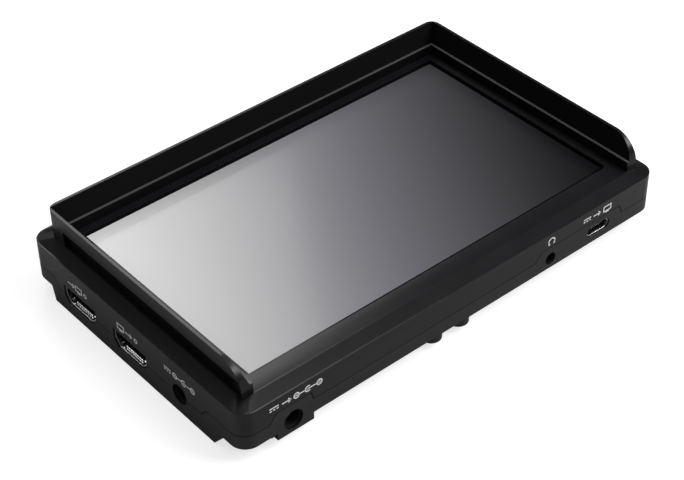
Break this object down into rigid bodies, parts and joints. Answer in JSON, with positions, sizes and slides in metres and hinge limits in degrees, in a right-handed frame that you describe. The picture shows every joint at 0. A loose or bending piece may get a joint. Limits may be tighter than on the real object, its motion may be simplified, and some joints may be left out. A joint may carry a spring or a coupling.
{
  "type": "camera field monitor",
  "caption": "On-camera field monitor with clip-on three-sided sun hood, battery plate, sockets and top keys, lying on its back.",
  "frame": {"origin": "centre of the footprint, at the height of the raised back that it rests on", "axes": "+Z is the way the screen faces, +X along the long side away from the video sockets, -Y the chin side"},
  "size_m": [0.156, 0.0974, 0.0284],
  "materials": {
    "rear_plastic": "fine moulded texture",
    "front_plastic": "satin moulded plastic",
    "hood_plastic": "satin moulded plastic",
    "screen_glass": "polished cover glass",
    "foam": "closed-cell foam",
    "panel_black": "polariser film",
    "panel_white": "diffuser",
    "steel": "stamped sheet",
    "bright_steel": "plated",
    "flex_film": "film",
    "circuit_board": "solder mask",
    "chip_plastic": "moulded",
    "socket_plastic": "moulded",
    "key_plastic": "satin",
    "plate_plastic": "satin",
    "lock_plastic": "satin",
    "brass": "turned",
    "black_screw": "blackened"
  },
  "bodies": {
    "case": {"rear_shell": "rear_plastic", "front_shell": "front_plastic", "screen_glass": "screen_glass", "panel_gasket": "foam", "lcd_cell": "panel_black", "backlight_unit": "panel_white", "panel_bracket": "steel", "panel_flex": "flex_film", "main_board": "circuit_board", "board_components": "chip_plastic", "video_shield": "steel", "hdmi_in_socket": "bright_steel", "hdmi_out_socket": "bright_steel", "hdmi_in_core": "socket_plastic", "hdmi_out_core": "socket_plastic", "dc_in_jack": "socket_plastic", "dc_out_jack": "socket_plastic", "dc_pins": "bright_steel", "headphone_jack": "socket_plastic", "usb_c_socket": "bright_steel", "usb_c_tongue": "socket_plastic", "key_board": "circuit_board", "key_switches": "steel", "battery_plate": "plate_plastic", "battery_terminal": "socket_plastic", "battery_blades": "brass", "lock_spring": "steel", "tripod_insert": "brass", "accessory_inserts": "brass", "case_screws": "black_screw", "plate_screws": "black_screw", "board_screws": "steel", "bracket_screws": "steel"},
    "sun_hood": {"sun_hood": "hood_plastic"},
    "menu_key": {"key_menu": "key_plastic"},
    "down_key": {"key_down": "key_plastic"},
    "up_key": {"key_up": "key_plastic"},
    "exit_key": {"key_exit": "key_plastic"},
    "power_key": {"key_power": "key_plastic"},
    "lock": {"battery_lock": "lock_plastic"}
  },
  "joints": [
    {"name": "hood_lift_off", "type": "slide", "parent": "case", "child": "sun_hood", "axis": [0, 0, 1], "range_m": [0, 0.02]},
    {"name": "menu_key_press", "type": "slide", "parent": "case", "child": "menu_key", "axis": [0, -1, 0], "range_m": [0, 0.0004], "stiffness_N_per_m": 400, "springref_m": -0.0005},
    {"name": "down_key_press", "type": "slide", "parent": "case", "child": "down_key", "axis": [0, -1, 0], "range_m": [0, 0.0004], "stiffness_N_per_m": 400, "springref_m": -0.0005},
    {"name": "up_key_press", "type": "slide", "parent": "case", "child": "up_key", "axis": [0, -1, 0], "range_m": [0, 0.0004], "stiffness_N_per_m": 400, "springref_m": -0.0005},
    {"name": "exit_key_press", "type": "slide", "parent": "case", "child": "exit_key", "axis": [0, -1, 0], "range_m": [0, 0.0004], "stiffness_N_per_m": 400, "springref_m": -0.0005},
    {"name": "power_key_press", "type": "slide", "parent": "case", "child": "power_key", "axis": [0, -1, 0], "range_m": [0, 0.0004], "stiffness_N_per_m": 400, "springref_m": -0.0005},
    {"name": "lock_press", "type": "slide", "parent": "case", "child": "lock", "axis": [0, 0, 1], "range_m": [0, 0.0017], "stiffness_N_per_m": 600, "springref_m": -0.001, "deforming": ["lock_spring"]}
  ]
}
